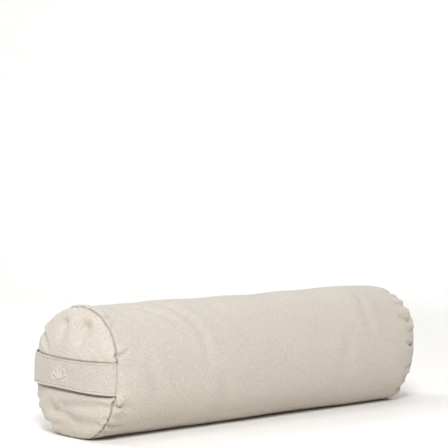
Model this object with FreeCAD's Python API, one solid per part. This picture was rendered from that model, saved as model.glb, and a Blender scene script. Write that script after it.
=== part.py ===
"""A yoga bolster pillow: a firm cylinder of wadding in a sewn cotton liner, inside a zipped
canvas cover with round crowned ends and a carrying strap across one end.

Frame, in millimetres: X runs along the bolster, with the strap's end at -X and the zip at the
back, towards +Y. Z is up. The origin is the centre of the flat that the bolster rests on.
"""

import FreeCAD
import Part
import math
import os
from collections import namedtuple

Vector = FreeCAD.Vector

# Whole pillow
BODY_DIAMETER = 210.0
SEAM_TO_SEAM = 668.0  # between the two end seams
SEAM_DIAMETER = 204.0  # the end seams draw the cover in a little
SHOULDER_LENGTH = 42.0  # over which the body narrows to its seam
CROWN_DEPTH = 29.0  # how far each end bulges past its seam
CROWN_EDGE_RADIUS = 16.0
SETTLE = 7.8  # how far the underside flattens under the pillow's own weight

# Cloth
CANVAS = 1.0
LINER_CLOTH = 0.6
COVER_ALLOWANCE = 12.0  # seam allowance turned in at each end
LINER_ALLOWANCE = 9.0
LAYER_GAP = 0.3  # between one casing and what fills it
SEAM_CLEARANCE = 0.9  # extra room inside the turned-in seams
SHOULDER_EASE = 18.0  # an inner casing narrows over a longer shoulder

# Zip at the back
SLOT_LENGTH = 510.0
SLOT_WIDTH = 10.0
SLOT_HEM = 9.0  # canvas turned under along the zip and the closing seam
TAPE_THICKNESS = 0.6
TAPE_REACH = 16.0  # from the chain's middle to the tape's outer edge
TAPE_OVERRUN = 15.0  # tape beyond each end of the slot
COIL_WIDTH = 2.65
COIL_GAP = 0.7  # between the two coils, where the slider's post runs
COIL_PROUD = 0.2  # coil above the canvas
BARTACK_LENGTH = 2.0
BARTACK_PROUD = 0.6
FACE_GAP = 0.05

# Zip slider and its pull
SLIDER_LENGTH = 12.0
SLIDER_WIDTH = 9.0
SLIDER_PLATE = 1.0
SLIDER_CLEARANCE = 0.2
SLIDER_END_GAP = 1.0  # from the slot's end at rest
POST_THICKNESS = 0.5
POST_LENGTH = 4.0
FLANGE_THICKNESS = 1.0
BRIDGE_LENGTH = 7.6
BRIDGE_WIDTH = 2.0
BRIDGE_BAR = 1.0
BRIDGE_WINDOW = 2.2
PIN_RADIUS = 0.7
PIN_LIFT = 0.3  # the pin's clearance over the slider's top plate
PULL_ARM_GAP = 0.4
PULL_ARM_WIDTH = 1.3
PULL_THICKNESS = 1.2
PULL_EYE = 4.6  # from the pin's axis to the tab
PULL_LENGTH = 26.0
PULL_WIDTH = 8.0
PULL_HOLE_RADIUS = 1.8
PULL_HOLE_INSET = 5.0

# Carrying strap across the handle end
STRAP_WIDTH = 47.0
STRAP_THICKNESS = 2.2
STRAP_GAP = 6.0  # finger gap over the middle of the end panel
STRAP_SEAM_GAP = 0.3
STRAP_EDGE_RADIUS = 18.0
STRAP_CORNER_RADIUS = 1.0

# Embroidered fan of petals on the strap
PETAL_COUNT = 5
PETAL_LENGTH = 21.0
PETAL_WIDTH = 9.0
PETAL_STROKE = 1.5
PETAL_FAN_STEP = 36.0  # degrees between petals
PETAL_ROOT = 2.6  # from the fan's centre to each petal
THREAD_HEIGHT = 0.5
FAN_DROP = 10.0  # the fan's centre below the strap's middle

# Filling
CORE_RADIUS = 55.0
PAD_DEPTH = 20.0  # how far each end pad reaches past its seam into the body
FILL_GAP = 0.2

# Care label, sewn into the closing seam inside the cover
LABEL_LENGTH = 28.0
LABEL_DROP = 20.0
LABEL_THICKNESS = 0.3
LABEL_CLEAR_OF_TAPE = 5.0

BODY_RADIUS = BODY_DIAMETER / 2
SEAM_RADIUS = SEAM_DIAMETER / 2
AXIS_Z = BODY_RADIUS - SETTLE
HALF = SEAM_TO_SEAM / 2
BACK_FLAT = BODY_RADIUS - 4.6  # the liner lies flat behind the zip, clear of its slider
BIG = 2000.0
X_AXIS = Vector(1, 0, 0)

Casing = namedtuple("Casing", "radius seam shoulder crown edge floor end_floor back")


def box(x, y, z):
    """A box from three (low, high) pairs."""
    corner = Vector(x[0], y[0], z[0])
    return Part.makeBox(x[1] - x[0], y[1] - y[0], z[1] - z[0], corner)


def arc(start, middle, end):
    return Part.Arc(start, middle, end).toShape()


def line(start, end):
    return Part.LineSegment(start, end).toShape()


def dome_radius(seam, crown, edge):
    """Radius of the flat middle of a crown, tangent to its rounded edge."""
    return (crown**2 + seam**2 - 2 * seam * edge) / (2 * (crown - edge))


def crown_points(seam, crown, edge):
    """A crown's outline as (distance from the axis, depth past the seam): the seam, a point
    halfway round the edge, where the edge meets the dome, a point on the dome, and its tip."""
    dome = dome_radius(seam, crown, edge)
    centre = crown - dome
    lean = math.atan2(seam - edge, -centre)  # of the line through both arcs' centres
    half_edge = (math.pi / 2 + lean) / 2
    on_edge = [
        (seam - edge + edge * math.sin(a), edge * math.cos(a))
        for a in (math.pi / 2, half_edge, lean)
    ]
    on_dome = [(dome * math.sin(a), centre + dome * math.cos(a)) for a in (lean / 2, 0)]
    return on_edge + on_dome


def shoulder_middle(casing):
    """The (distance along the shoulder, radius) halfway round the shoulder's arc."""
    rise = casing.radius - casing.seam
    radius = (casing.shoulder**2 + rise**2) / (2 * rise)
    angle = math.asin(casing.shoulder / radius) / 2
    return (
        casing.shoulder - radius * math.sin(angle),
        casing.radius - radius + radius * math.cos(angle),
    )


def half_outline(casing, side):
    """The casing's outline above its axis from one crown's tip to the body's middle."""

    def point(x, r):
        return Vector(side * x, 0, AXIS_Z + r)

    rim, edge, joint, dome, tip = [
        point(HALF + depth, r)
        for r, depth in crown_points(casing.seam, casing.crown, casing.edge)
    ]
    along, radius = shoulder_middle(casing)
    full = point(HALF - casing.shoulder, casing.radius)
    return [
        arc(tip, dome, joint),
        arc(joint, edge, rim),
        arc(rim, point(HALF - along, radius), full),
        line(full, point(0, casing.radius)),
    ]


def stuffed(casing):
    """The solid that a casing encloses, flattened where it rests and behind the zip."""
    left, right = half_outline(casing, -1), half_outline(casing, 1)
    tips = [Vector(side * (HALF + casing.crown), 0, AXIS_Z) for side in (1, -1)]
    wire = Part.Wire(Part.__sortEdges__(left + right + [line(*tips)]))
    solid = Part.Face(wire).revolve(Vector(0, 0, AXIS_Z), X_AXIS, 360)
    solid = solid.common(box((-BIG, BIG), (-BIG, casing.back), (casing.floor, BIG)))
    if casing.end_floor > casing.floor:
        inner = HALF - 1.5 * COVER_ALLOWANCE
        for x in ((-BIG, -inner), (inner, BIG)):
            solid = solid.cut(box(x, (-BIG, BIG), (-BIG, casing.end_floor)))
    return solid


def inset(casing, depth):
    """The same casing, smaller by depth all round."""
    return Casing(
        casing.radius - depth,
        casing.seam - depth,
        casing.shoulder,
        casing.crown - depth,
        casing.edge - depth,
        casing.floor + depth,
        casing.end_floor + depth,
        casing.back - depth,
    )


def held_inside(casing, cloth, back):
    """The casing that fits inside one made of cloth, clear of its turned-in seams."""
    wall = cloth + LAYER_GAP
    seam = 3 * cloth + LAYER_GAP + SEAM_CLEARANCE
    return Casing(
        casing.radius - wall,
        casing.seam - seam,
        casing.shoulder + SHOULDER_EASE,
        casing.crown - wall,
        casing.edge - seam,
        casing.floor + wall,
        casing.end_floor + 3 * cloth + LAYER_GAP,
        back,
    )


def layers(casing, cloth, first, last, x):
    """The cloth between two depths, counted in thicknesses, over a stretch of X."""
    outer = stuffed(inset(casing, first * cloth))
    inner = stuffed(inset(casing, last * cloth))
    return outer.cut(inner).common(box(x, (-BIG, BIG), (-BIG, BIG)))


def stretch(side, start, end):
    """The X range from start to end, measured outwards towards one end of the pillow."""
    return tuple(sorted((side * start, side * end)))


def body_panel(casing, cloth, allowance):
    """The rolled-up panel, with its seam allowance turned in at both ends."""
    panel = layers(casing, cloth, 0, 1, (-HALF, HALF))
    for side in (-1, 1):
        x = stretch(side, HALF - allowance, HALF)
        panel = panel.fuse(layers(casing, cloth, 1, 2, x))
    return panel.removeSplitter()


def end_panel(casing, cloth, allowance, side):
    """A round crowned end, with its seam allowance turned into the body."""
    cap = layers(casing, cloth, 0, 1, stretch(side, HALF, BIG))
    fold = layers(casing, cloth, 0, 3, stretch(side, HALF, HALF + cloth))
    skirt = layers(casing, cloth, 2, 3, stretch(side, HALF - allowance, HALF))
    return cap.fuse([fold, skirt]).removeSplitter()


def back_band(outer, inner, x, z):
    """A curved strip of cloth at the back between two radii, z measured from the axis."""
    tubes = [
        Part.makeCylinder(r, x[1] - x[0], Vector(x[0], 0, AXIS_Z), X_AXIS)
        for r in (outer, inner)
    ]
    strip = box(x, (0, BIG), (AXIS_Z + z[0], AXIS_Z + z[1]))
    return tubes[0].cut(tubes[1]).common(strip)


def zipped_body_panel(casing):
    """The cover's body, with its long edges turned under along the zip and closing seam."""
    panel = body_panel(casing, CANVAS, COVER_ALLOWANCE)
    reach = HALF - casing.shoulder
    half_slot = SLOT_WIDTH / 2
    hem = half_slot + SLOT_HEM
    under = back_band(
        BODY_RADIUS - CANVAS, BODY_RADIUS - 2 * CANVAS, (-reach, reach), (-hem, hem)
    )
    slot = box(
        (-SLOT_LENGTH / 2, SLOT_LENGTH / 2),
        (BACK_FLAT, BIG),
        (AXIS_Z - half_slot, AXIS_Z + half_slot),
    )
    return panel.fuse(under).cut(slot).removeSplitter()


def tape(side):
    """One zip tape, under the canvas, from the chain's middle outwards."""
    outer = BODY_RADIUS - 2 * CANVAS - FACE_GAP
    end = SLOT_LENGTH / 2 + TAPE_OVERRUN
    z = stretch(side, COIL_GAP / 2, TAPE_REACH)
    return back_band(outer, outer - TAPE_THICKNESS, (-end, end), z)


def coil(side):
    """One row of the closed zip chain, standing on its tape in the slot."""
    z = stretch(side, COIL_GAP / 2, COIL_GAP / 2 + COIL_WIDTH)
    end = SLOT_LENGTH / 2 - FACE_GAP
    foot = BODY_RADIUS - 2 * CANVAS - FACE_GAP
    return box(
        (-end, end),
        (foot, BODY_RADIUS + COIL_PROUD),
        (AXIS_Z + z[0], AXIS_Z + z[1]),
    )


def bartacks():
    """The two blocks of stitching that close the slot's ends and stop the slider."""
    half = SLOT_WIDTH / 2 + 1
    outer = BODY_RADIUS + BARTACK_PROUD
    tacks = [
        back_band(
            outer,
            BODY_RADIUS,
            stretch(side, SLOT_LENGTH / 2, SLOT_LENGTH / 2 + BARTACK_LENGTH),
            (-half, half),
        )
        for side in (-1, 1)
    ]
    return Part.makeCompound(tacks)


SLIDER_X = -SLOT_LENGTH / 2 + SLIDER_END_GAP + SLIDER_LENGTH / 2
SLIDER_TOP = BODY_RADIUS + COIL_PROUD + SLIDER_CLEARANCE + SLIDER_PLATE
PIN_Y = SLIDER_TOP + PIN_LIFT + PIN_RADIUS


def slider():
    """The slider's two plates, joined by its post, with side flanges and a bridge."""
    x = (SLIDER_X - SLIDER_LENGTH / 2, SLIDER_X + SLIDER_LENGTH / 2)
    half = SLIDER_WIDTH / 2
    tape_face = BODY_RADIUS - 2 * CANVAS - FACE_GAP
    under = tape_face - TAPE_THICKNESS - 1.5 * SLIDER_CLEARANCE
    top = box(x, (SLIDER_TOP - SLIDER_PLATE, SLIDER_TOP), (AXIS_Z - half, AXIS_Z + half))
    top = round_upright_edges(top, Vector(0, 1, 0), 2.5)
    bottom = box(x, (under - SLIDER_PLATE, under), (AXIS_Z - half, AXIS_Z + half))
    bottom = round_upright_edges(bottom, Vector(0, 1, 0), 2.5)
    post = box(
        (SLIDER_X - POST_LENGTH / 2, SLIDER_X + POST_LENGTH / 2),
        (under - SLIDER_PLATE / 2, SLIDER_TOP - SLIDER_PLATE / 2),
        (AXIS_Z - POST_THICKNESS / 2, AXIS_Z + POST_THICKNESS / 2),
    )
    flanges = [
        box(
            (x[0] + 2.5, x[1] - 2.5),
            (tape_face + SLIDER_CLEARANCE, SLIDER_TOP - SLIDER_PLATE / 2),
            tuple(AXIS_Z + z for z in stretch(side, half - FLANGE_THICKNESS, half)),
        )
        for side in (-1, 1)
    ]
    bridge = box(
        (SLIDER_X - BRIDGE_LENGTH / 2, SLIDER_X + BRIDGE_LENGTH / 2),
        (SLIDER_TOP - SLIDER_PLATE / 2, SLIDER_TOP + BRIDGE_WINDOW + BRIDGE_BAR),
        (AXIS_Z - BRIDGE_WIDTH / 2, AXIS_Z + BRIDGE_WIDTH / 2),
    )
    window = box(
        (
            SLIDER_X - BRIDGE_LENGTH / 2 + BRIDGE_BAR,
            SLIDER_X + BRIDGE_LENGTH / 2 - BRIDGE_BAR,
        ),
        (SLIDER_TOP, SLIDER_TOP + BRIDGE_WINDOW),
        (AXIS_Z - BRIDGE_WIDTH, AXIS_Z + BRIDGE_WIDTH),
    )
    return top.fuse([bottom, post, bridge.cut(window)] + flanges).removeSplitter()


def round_upright_edges(solid, direction, radius):
    """Fillets the edges that run along a direction."""
    upright = [
        e
        for e in solid.Edges
        if abs(e.tangentAt(e.FirstParameter).dot(direction)) > 0.99
    ]
    return solid.makeFillet(radius, upright)


def pull():
    """The pull tab: a pin through the bridge's window, two arms and a drilled tab."""
    inner = BRIDGE_WIDTH / 2 + PULL_ARM_GAP
    outer = inner + PULL_ARM_WIDTH
    y = (PIN_Y - PULL_THICKNESS / 2, PIN_Y + PULL_THICKNESS / 2)
    pin = Part.makeCylinder(
        PIN_RADIUS, 2 * outer, Vector(SLIDER_X, PIN_Y, AXIS_Z - outer), Vector(0, 0, 1)
    )
    arms = [
        box(
            (SLIDER_X, SLIDER_X + PULL_EYE + 1),
            y,
            tuple(AXIS_Z + z for z in stretch(side, inner, outer)),
        )
        for side in (-1, 1)
    ]
    tab = box(
        (SLIDER_X + PULL_EYE, SLIDER_X + PULL_LENGTH),
        y,
        (AXIS_Z - PULL_WIDTH / 2, AXIS_Z + PULL_WIDTH / 2),
    )
    tab = round_upright_edges(tab, Vector(0, 1, 0), 2.0)
    hole = Part.makeCylinder(
        PULL_HOLE_RADIUS,
        4 * PULL_THICKNESS,
        Vector(
            SLIDER_X + PULL_LENGTH - PULL_HOLE_INSET, PIN_Y - 2 * PULL_THICKNESS, AXIS_Z
        ),
        Vector(0, 1, 0),
    )
    return pin.fuse(arms + [tab.cut(hole)]).removeSplitter()


def strap_edge(lift):
    """The strap's outline seen from above, lift outside its inner face, seam to seam."""
    seam = SEAM_RADIUS + STRAP_SEAM_GAP + lift
    points = crown_points(
        seam, CROWN_DEPTH + STRAP_GAP + lift, STRAP_EDGE_RADIUS + lift
    )
    rim, edge, joint, dome, tip = [
        Vector(-HALF - depth, r, AXIS_Z) for r, depth in points
    ]

    def mirrored(p):
        return Vector(p.x, -p.y, p.z)

    return [
        arc(rim, edge, joint),
        arc(joint, dome, tip),
        arc(tip, mirrored(dome), mirrored(joint)),
        arc(mirrored(joint), mirrored(edge), mirrored(rim)),
    ]


def strap_band(inner_lift, outer_lift, half_width):
    """The space between two offsets of the strap's outline, over a height about the axis."""
    inner, outer = strap_edge(inner_lift), strap_edge(outer_lift)
    ends = [
        line(inner[0].Vertexes[0].Point, outer[0].Vertexes[0].Point),
        line(inner[-1].Vertexes[-1].Point, outer[-1].Vertexes[-1].Point),
    ]
    wire = Part.Wire(Part.__sortEdges__(inner + outer + ends))
    band = Part.Face(wire).extrude(Vector(0, 0, 2 * half_width))
    band.translate(Vector(0, 0, -half_width))
    return band


def handle_strap(cover):
    """The folded canvas strap, standing off the crown, its ends against the end seam."""
    band = strap_band(0, STRAP_THICKNESS, STRAP_WIDTH / 2)
    return band.cut(stuffed(inset(cover, -STRAP_SEAM_GAP)))


def petal(angle):
    """One pointed petal's outline stroke, as a prism through the strap."""

    def lens(length, width):
        foot = PETAL_ROOT + (PETAL_LENGTH - length) / 2
        tip, middle = foot + length, foot + length / 2
        sides = [(foot, 0), (middle, width / 2), (tip, 0), (middle, -width / 2)]
        a, b, c, d = [Vector(0, y, z) for z, y in sides]
        face = Part.Face(Part.Wire([arc(a, b, c), arc(c, d, a)]))
        return face.extrude(Vector(-BIG, 0, 0))

    outline = lens(PETAL_LENGTH, PETAL_WIDTH).cut(
        lens(PETAL_LENGTH - 4 * PETAL_STROKE, PETAL_WIDTH - 2 * PETAL_STROKE)
    )
    outline.rotate(Vector(0, 0, 0), X_AXIS, angle)
    outline.translate(Vector(0, 0, AXIS_Z - FAN_DROP))
    return outline


def embroidery():
    """A fan of petals in raised satin stitch on the middle of the strap's outer face."""
    threads = strap_band(
        STRAP_THICKNESS, STRAP_THICKNESS + THREAD_HEIGHT, STRAP_WIDTH / 2
    )
    first = -(PETAL_COUNT - 1) / 2
    petals = [petal((first + i) * PETAL_FAN_STEP) for i in range(PETAL_COUNT)]
    stitched = petals[0].fuse(petals[1:])
    return threads.common(stitched)


def filling(casing):
    """The firm core roll, the softer wrap around it, and the two pads that crown the ends."""
    whole = stuffed(casing)
    reach = HALF - PAD_DEPTH
    core = Part.makeCylinder(
        CORE_RADIUS, 2 * reach, Vector(-reach, 0, AXIS_Z), X_AXIS
    )
    hollow = Part.makeCylinder(
        CORE_RADIUS + FILL_GAP, 2 * reach, Vector(-reach, 0, AXIS_Z), X_AXIS
    )
    middle = whole.common(box((-reach, reach), (-BIG, BIG), (-BIG, BIG)))
    pads = [
        whole.common(box(stretch(side, reach + FILL_GAP, BIG), (-BIG, BIG), (-BIG, BIG)))
        for side in (-1, 1)
    ]
    return core, middle.cut(hollow), pads[0], pads[1]


def care_label():
    """A blank woven label, caught in the closing seam beyond the zip's end."""
    start = SLOT_LENGTH / 2 + TAPE_OVERRUN + LABEL_CLEAR_OF_TAPE
    outer = BODY_RADIUS - 2 * CANVAS - FACE_GAP
    x = (start, start + LABEL_LENGTH - LABEL_CLEAR_OF_TAPE)
    return back_band(outer, outer - LABEL_THICKNESS, x, (-LABEL_DROP, 2))


def sub_parts():
    cover = Casing(
        BODY_RADIUS,
        SEAM_RADIUS,
        SHOULDER_LENGTH,
        CROWN_DEPTH,
        CROWN_EDGE_RADIUS,
        0.0,
        0.0,
        BIG,
    )
    liner = held_inside(cover, CANVAS, BACK_FLAT)
    fill = held_inside(liner, LINER_CLOTH, BACK_FLAT - LINER_CLOTH - LAYER_GAP)
    core, wrap, handle_pad, plain_pad = filling(fill)
    return {
        "cover_body_panel": zipped_body_panel(cover),
        "cover_handle_end_panel": end_panel(cover, CANVAS, COVER_ALLOWANCE, -1),
        "cover_plain_end_panel": end_panel(cover, CANVAS, COVER_ALLOWANCE, 1),
        "handle_strap": handle_strap(cover),
        "handle_embroidery": embroidery(),
        "zip_tape_upper": tape(1),
        "zip_tape_lower": tape(-1),
        "zip_coil_upper": coil(1),
        "zip_coil_lower": coil(-1),
        "zip_bartacks": bartacks(),
        "zip_slider": slider(),
        "zip_pull": pull(),
        "care_label": care_label(),
        "liner_body": body_panel(liner, LINER_CLOTH, LINER_ALLOWANCE),
        "liner_handle_end": end_panel(liner, LINER_CLOTH, LINER_ALLOWANCE, -1),
        "liner_plain_end": end_panel(liner, LINER_CLOTH, LINER_ALLOWANCE, 1),
        "filling_core": core,
        "filling_wrap": wrap,
        "filling_pad_handle_end": handle_pad,
        "filling_pad_plain_end": plain_pad,
    }


os.makedirs("parts", exist_ok=True)
for node, shape in sub_parts().items():
    shape.exportStep(f"parts/{node}.step")
    size = shape.BoundBox
    print(
        f"{node}: {len(shape.Solids)} solid(s), valid {shape.isValid()}, "
        f"{shape.Volume / 1000:.2f} cm3, "
        f"X {size.XMin:.1f} {size.XMax:.1f}, "
        f"Y {size.YMin:.1f} {size.YMax:.1f}, Z {size.ZMin:.1f} {size.ZMax:.1f}"
    )
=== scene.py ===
import math
from collections import namedtuple
from contextlib import contextmanager

import bmesh
import bpy
import numpy as np
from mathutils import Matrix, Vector


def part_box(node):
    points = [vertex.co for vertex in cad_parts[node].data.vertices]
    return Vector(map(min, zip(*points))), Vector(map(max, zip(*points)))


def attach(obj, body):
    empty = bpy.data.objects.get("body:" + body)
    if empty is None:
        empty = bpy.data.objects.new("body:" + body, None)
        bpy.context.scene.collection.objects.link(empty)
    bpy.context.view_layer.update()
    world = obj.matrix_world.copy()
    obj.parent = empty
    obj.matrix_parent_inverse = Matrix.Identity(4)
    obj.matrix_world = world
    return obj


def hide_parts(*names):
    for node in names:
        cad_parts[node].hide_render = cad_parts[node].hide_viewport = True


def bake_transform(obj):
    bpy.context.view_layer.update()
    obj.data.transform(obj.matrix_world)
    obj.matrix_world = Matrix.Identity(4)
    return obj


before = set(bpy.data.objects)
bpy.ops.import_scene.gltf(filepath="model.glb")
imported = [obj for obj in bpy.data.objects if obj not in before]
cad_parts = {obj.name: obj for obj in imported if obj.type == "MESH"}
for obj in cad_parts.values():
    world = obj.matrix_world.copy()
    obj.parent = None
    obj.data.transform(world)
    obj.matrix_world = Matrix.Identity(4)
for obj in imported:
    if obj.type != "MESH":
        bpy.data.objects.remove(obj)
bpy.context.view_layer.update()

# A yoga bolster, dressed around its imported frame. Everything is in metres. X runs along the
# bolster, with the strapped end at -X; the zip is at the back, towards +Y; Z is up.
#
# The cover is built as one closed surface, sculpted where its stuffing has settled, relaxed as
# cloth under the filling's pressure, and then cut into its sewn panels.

# -------- sizes taken from the frame

BODY_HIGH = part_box("cover_body_panel")[1]
END = BODY_HIGH.x
RADIUS = BODY_HIGH.y
AXIS = BODY_HIGH.z - RADIUS
CAP_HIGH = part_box("cover_plain_end_panel")[1]
CROWN = CAP_HIGH.x - END
SEAM = CAP_HIGH.y
COIL_LOW, COIL_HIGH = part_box("zip_coil_upper")
SLOT_END = COIL_HIGH.x + 0.00005
STRAP_LOW, STRAP_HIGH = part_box("handle_strap")
STRAP_HALF = (STRAP_HIGH.z - STRAP_LOW.z) / 2
LINER_BACK = min(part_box("liner_body")[1].y, 0.1004)  # where it is flat behind the zip

# -------- sizes of this model

CROWN_EDGE = 0.016
SHOULDER = 0.042
SLOT_HALF = 0.005
AROUND = 192  # columns round the bolster; a multiple of four, for the ends' square middle
FINE_ROW = 0.0024  # spacing of the body's rows at a seam
WIDE_ROW = 0.0075
CAP_RINGS = 10
CAP_RING_SHARE = 0.42  # of the way from seam to tip that is rings, before the square middle
FLOOR_SOFTNESS = 0.004
GATHERED_IN = 0.0055  # how far the plain end is drawn in just past its seam
PLAIN_SEAM_OUT = 0.0050  # how far that seam stands out along X
SHOULDER_REACH = 0.040  # over which the cloth beside it goes along
STRAP_PULL = 0.0036  # how deep the strap's ends draw the cover in
LINER_DEPTH = 0.0048  # from the cover in to the liner
WRAP_DEPTH = 0.0060  # from the cover in to the wadding
WRAP_BACK = 0.0990  # where the wadding is flat behind the zip
FLOOR_GAP = 0.0001
ZIP_MARGIN = 0.018  # half the height of the strip that the zip holds flat
SEAM_LIP = 0.0012  # how far the cloth stands up beside a seam
SEAM_RIPPLE = 0.0007
BROAD_RIPPLE = 0.0006
FULL_REACH = 0.045  # how far from a seam the cloth is cut a little full
FULL_STEPS = 20
MOST_SETTLING = 0.007  # the furthest that relaxing moves the cloth
GROOVE_DEPTH = 0.0046
GROOVE_WIDTH = 0.0012
UNDERCUT = 0.8  # how far the strapped end's seam leans under the body as it goes in
UNDERCUT_REACH = 0.012
GROOVE_ROWS = (0.25, 0.5, 0.75)  # extra rows beside a seam, as shares of the first spacing
TURN_IN = 0.0032
STRAP_THICKNESS = 0.0022
STRAP_GAP = 0.0008
STRAP_SINK = 0.0010  # how far the strap presses into the stuffed end
STRAP_FLARE = 0.0009  # how much wider each half of it is at its sewn ends
STRAP_WAIST = 0.0016  # how much narrower in the middle
STRAP_DROP = 0.0005  # how far below the axis its front end lies
STRAP_TILT = 0.036  # how fast it climbs from its front end towards its back one
STRAP_HUG = 0.0013  # how far its upper edge bends in over the crown
STRAP_TWIST = 1.0  # how much more it bends in at its back end
STRAP_LIP = 0.0008  # how far its lower edge stands out
FRAMES = 14
SEED = 11

MM = 0.001

rng = np.random.default_rng(SEED)


def ease(t):
    t = np.clip(t, 0, 1)
    return t * t * (3 - 2 * t)


def bell(distance, width):
    """One in the middle, falling away smoothly over about the width."""
    return np.exp(-((distance / width) ** 2))


def around_axis(x, r, angle):
    """Places at a distance from the bolster's axis, by angle up from the back."""
    return x, r * np.cos(angle), AXIS + r * np.sin(angle)


def between(low, high, share):
    return low * (1 - share) + high * share


def ring_faces(outer, inner):
    """The faces between two closed rings that have as many vertices each."""
    return list(zip(outer, outer[1:] + outer[:1], inner[1:] + inner[:1], inner))


def tube_faces(first, rings, size, closed):
    """The faces of a tube of rings numbered from a first vertex, with or without its ends."""
    numbers = [list(range(first + i * size, first + (i + 1) * size)) for i in range(rings)]
    faces = [face for pair in zip(numbers[:-1], numbers[1:]) for face in ring_faces(*pair)]
    if closed:
        faces += [tuple(numbers[0][::-1]), tuple(numbers[-1])]
    return faces


# -------- outlines


class Crown:
    """The outline of a crowned end: a rounded edge that runs on into a flatter dome."""

    def __init__(self, seam, crown, edge):
        self.edge = edge
        self.seam = seam
        self.dome = (crown**2 + seam**2 - 2 * seam * edge) / (2 * (crown - edge))
        self.centre = crown - self.dome
        self.lean = math.atan2(seam - edge, -self.centre)
        self.edge_length = edge * (math.pi / 2 - self.lean)
        self.length = self.edge_length + self.dome * self.lean

    def at(self, s):
        """(depth past the seam, distance from the axis) at a length along the outline."""
        if s < self.edge_length:
            a = math.pi / 2 - s / self.edge
            return (
                self.edge * math.cos(a),
                self.seam - self.edge + self.edge * math.sin(a),
            )
        a = self.lean - (s - self.edge_length) / self.dome
        return self.centre + self.dome * math.cos(a), self.dome * math.sin(a)


CAP = Crown(SEAM, CROWN, CROWN_EDGE)


def body_radius(x):
    """The body's radius: a cylinder that narrows over its shoulders to the seams."""
    rise = RADIUS - SEAM
    arc = (SHOULDER**2 + rise**2) / (2 * rise)
    into = np.maximum(0, SHOULDER - (END - abs(x)))
    return RADIUS - arc + np.sqrt(arc**2 - into**2)


# -------- the cover's surface

column_angles = np.concatenate(
    [[0.0], np.linspace(SLOT_HALF / RADIUS, 2 * math.pi - SLOT_HALF / RADIUS, AROUND - 1)]
)


def body_rows():
    """Places of the body's rows along X, close together at the seams, with one at each end
    of the zip's slot."""
    steps = [0.0]
    while steps[-1] < END:
        steps.append(steps[-1] + min(WIDE_ROW, FINE_ROW + 0.055 * steps[-1]))
    half = END - np.array(steps) * END / steps[-1]
    half[np.argmin(abs(half - SLOT_END))] = SLOT_END
    return np.concatenate([-half, half[::-1][1:]])


class Cover:
    """The whole cover as one closed mesh, with the vertex numbers of each sewn panel."""

    def __init__(self):
        self.points = []
        self.flat = []  # where each vertex lies in its panel's flat pattern
        self.rows = body_rows()
        self.grid = [[self.add_body(x, a) for a in column_angles] for x in self.rows]
        self.cap_faces = {-1: [], 1: []}
        self.first_ring = {}
        for side in (-1, 1):
            self.add_cap(side, self.grid[0] if side < 0 else self.grid[-1])
        self.points = np.array(self.points)
        self.flat = np.array(self.flat)

    def add(self, place, flat):
        self.points.append(place)
        self.flat.append(flat)
        return len(self.points) - 1

    def add_body(self, x, angle):
        return self.add(around_axis(x, body_radius(x), angle), (x, RADIUS * angle))

    def add_cap_point(self, side, s, angle):
        depth, r = CAP.at(s)
        across = CAP.length - s
        flat = (across * math.cos(angle), across * math.sin(angle))
        return self.add(around_axis(side * (END + depth), r, angle), flat)

    def add_cap(self, side, rim):
        ring = rim
        for j in range(1, CAP_RINGS + 1):
            s = CAP.length * CAP_RING_SHARE * (j / CAP_RINGS) ** 1.25
            inner = [self.add_cap_point(side, s, a) for a in column_angles]
            self.cap_faces[side] += ring_faces(ring, inner)
            self.first_ring.setdefault(side, inner)
            ring = inner
        self.add_cap_middle(side, ring)

    def add_cap_middle(self, side, ring):
        """Fills the last ring with a square grid, relaxed so that its cells are even."""
        n = AROUND // 4
        first = n // 2
        number = np.zeros((n + 1, n + 1), int)
        for i in range(n + 1):
            number[n, i] = ring[(i - first) % AROUND]
            number[n - i, n] = ring[(i + first) % AROUND]
            number[0, n - i] = ring[(i + first + n) % AROUND]
            number[i, 0] = ring[(i + first + 2 * n) % AROUND]
        place = np.zeros((n + 1, n + 1, 2))
        edge = np.ones((n + 1, n + 1), bool)
        edge[1:-1, 1:-1] = False
        place[edge] = [self.points[v][1:] for v in number[edge]]
        place[edge, 1] -= AXIS
        u = np.linspace(0, 1, n + 1)[:, None, None]
        v = np.linspace(0, 1, n + 1)[None, :, None]
        corners = between(
            between(place[0, 0], place[n, 0], u), between(place[0, n], place[n, n], u), v
        )
        blend = between(place[:1], place[n:], u) + between(place[:, :1], place[:, n:], v)
        place[1:-1, 1:-1] = (blend - corners)[1:-1, 1:-1]
        for _ in range(60):
            around = place[:-2, 1:-1] + place[2:, 1:-1] + place[1:-1, :-2] + place[1:-1, 2:]
            place[1:-1, 1:-1] = around / 4
        for i in range(1, n):
            for j in range(1, n):
                y, z = place[i, j]
                lean = math.asin(math.hypot(y, z) / CAP.dome)
                s = CAP.length - CAP.dome * lean
                number[i, j] = self.add_cap_point(side, s, math.atan2(z, y))
        cells = number[:-1, :-1], number[1:, :-1], number[1:, 1:], number[:-1, 1:]
        self.cap_faces[side] += list(zip(*(cell.ravel() for cell in cells)))

    def body_faces(self):
        pairs = zip(self.grid[:-1], self.grid[1:])
        return [face for near, far in pairs for face in ring_faces(near, far)]

    def end_faces(self, side):
        if side < 0:
            return [face[::-1] for face in self.cap_faces[side]]
        return self.cap_faces[side]

    def all_faces(self):
        return self.body_faces() + self.end_faces(-1) + self.end_faces(1)


cover = Cover()

# -------- the strap's line


def strap_height(y):
    """Height of the strap's middle line, which climbs a little from front to back."""
    return AXIS - STRAP_DROP + STRAP_TILT * (y + SEAM)


def strap_half(y):
    """Half the strap's width, which is least in the middle."""
    outwards = np.minimum(1, abs(y) / SEAM) ** 2
    return STRAP_HALF + STRAP_FLARE * outwards - STRAP_WAIST * (1 - outwards)


def beside_strap(points):
    """How far above or below the strap's edges each point is; negative under the strap."""
    y, z = points[:, 1], points[:, 2]
    return abs(z - strap_height(y)) - strap_half(y)


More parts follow.
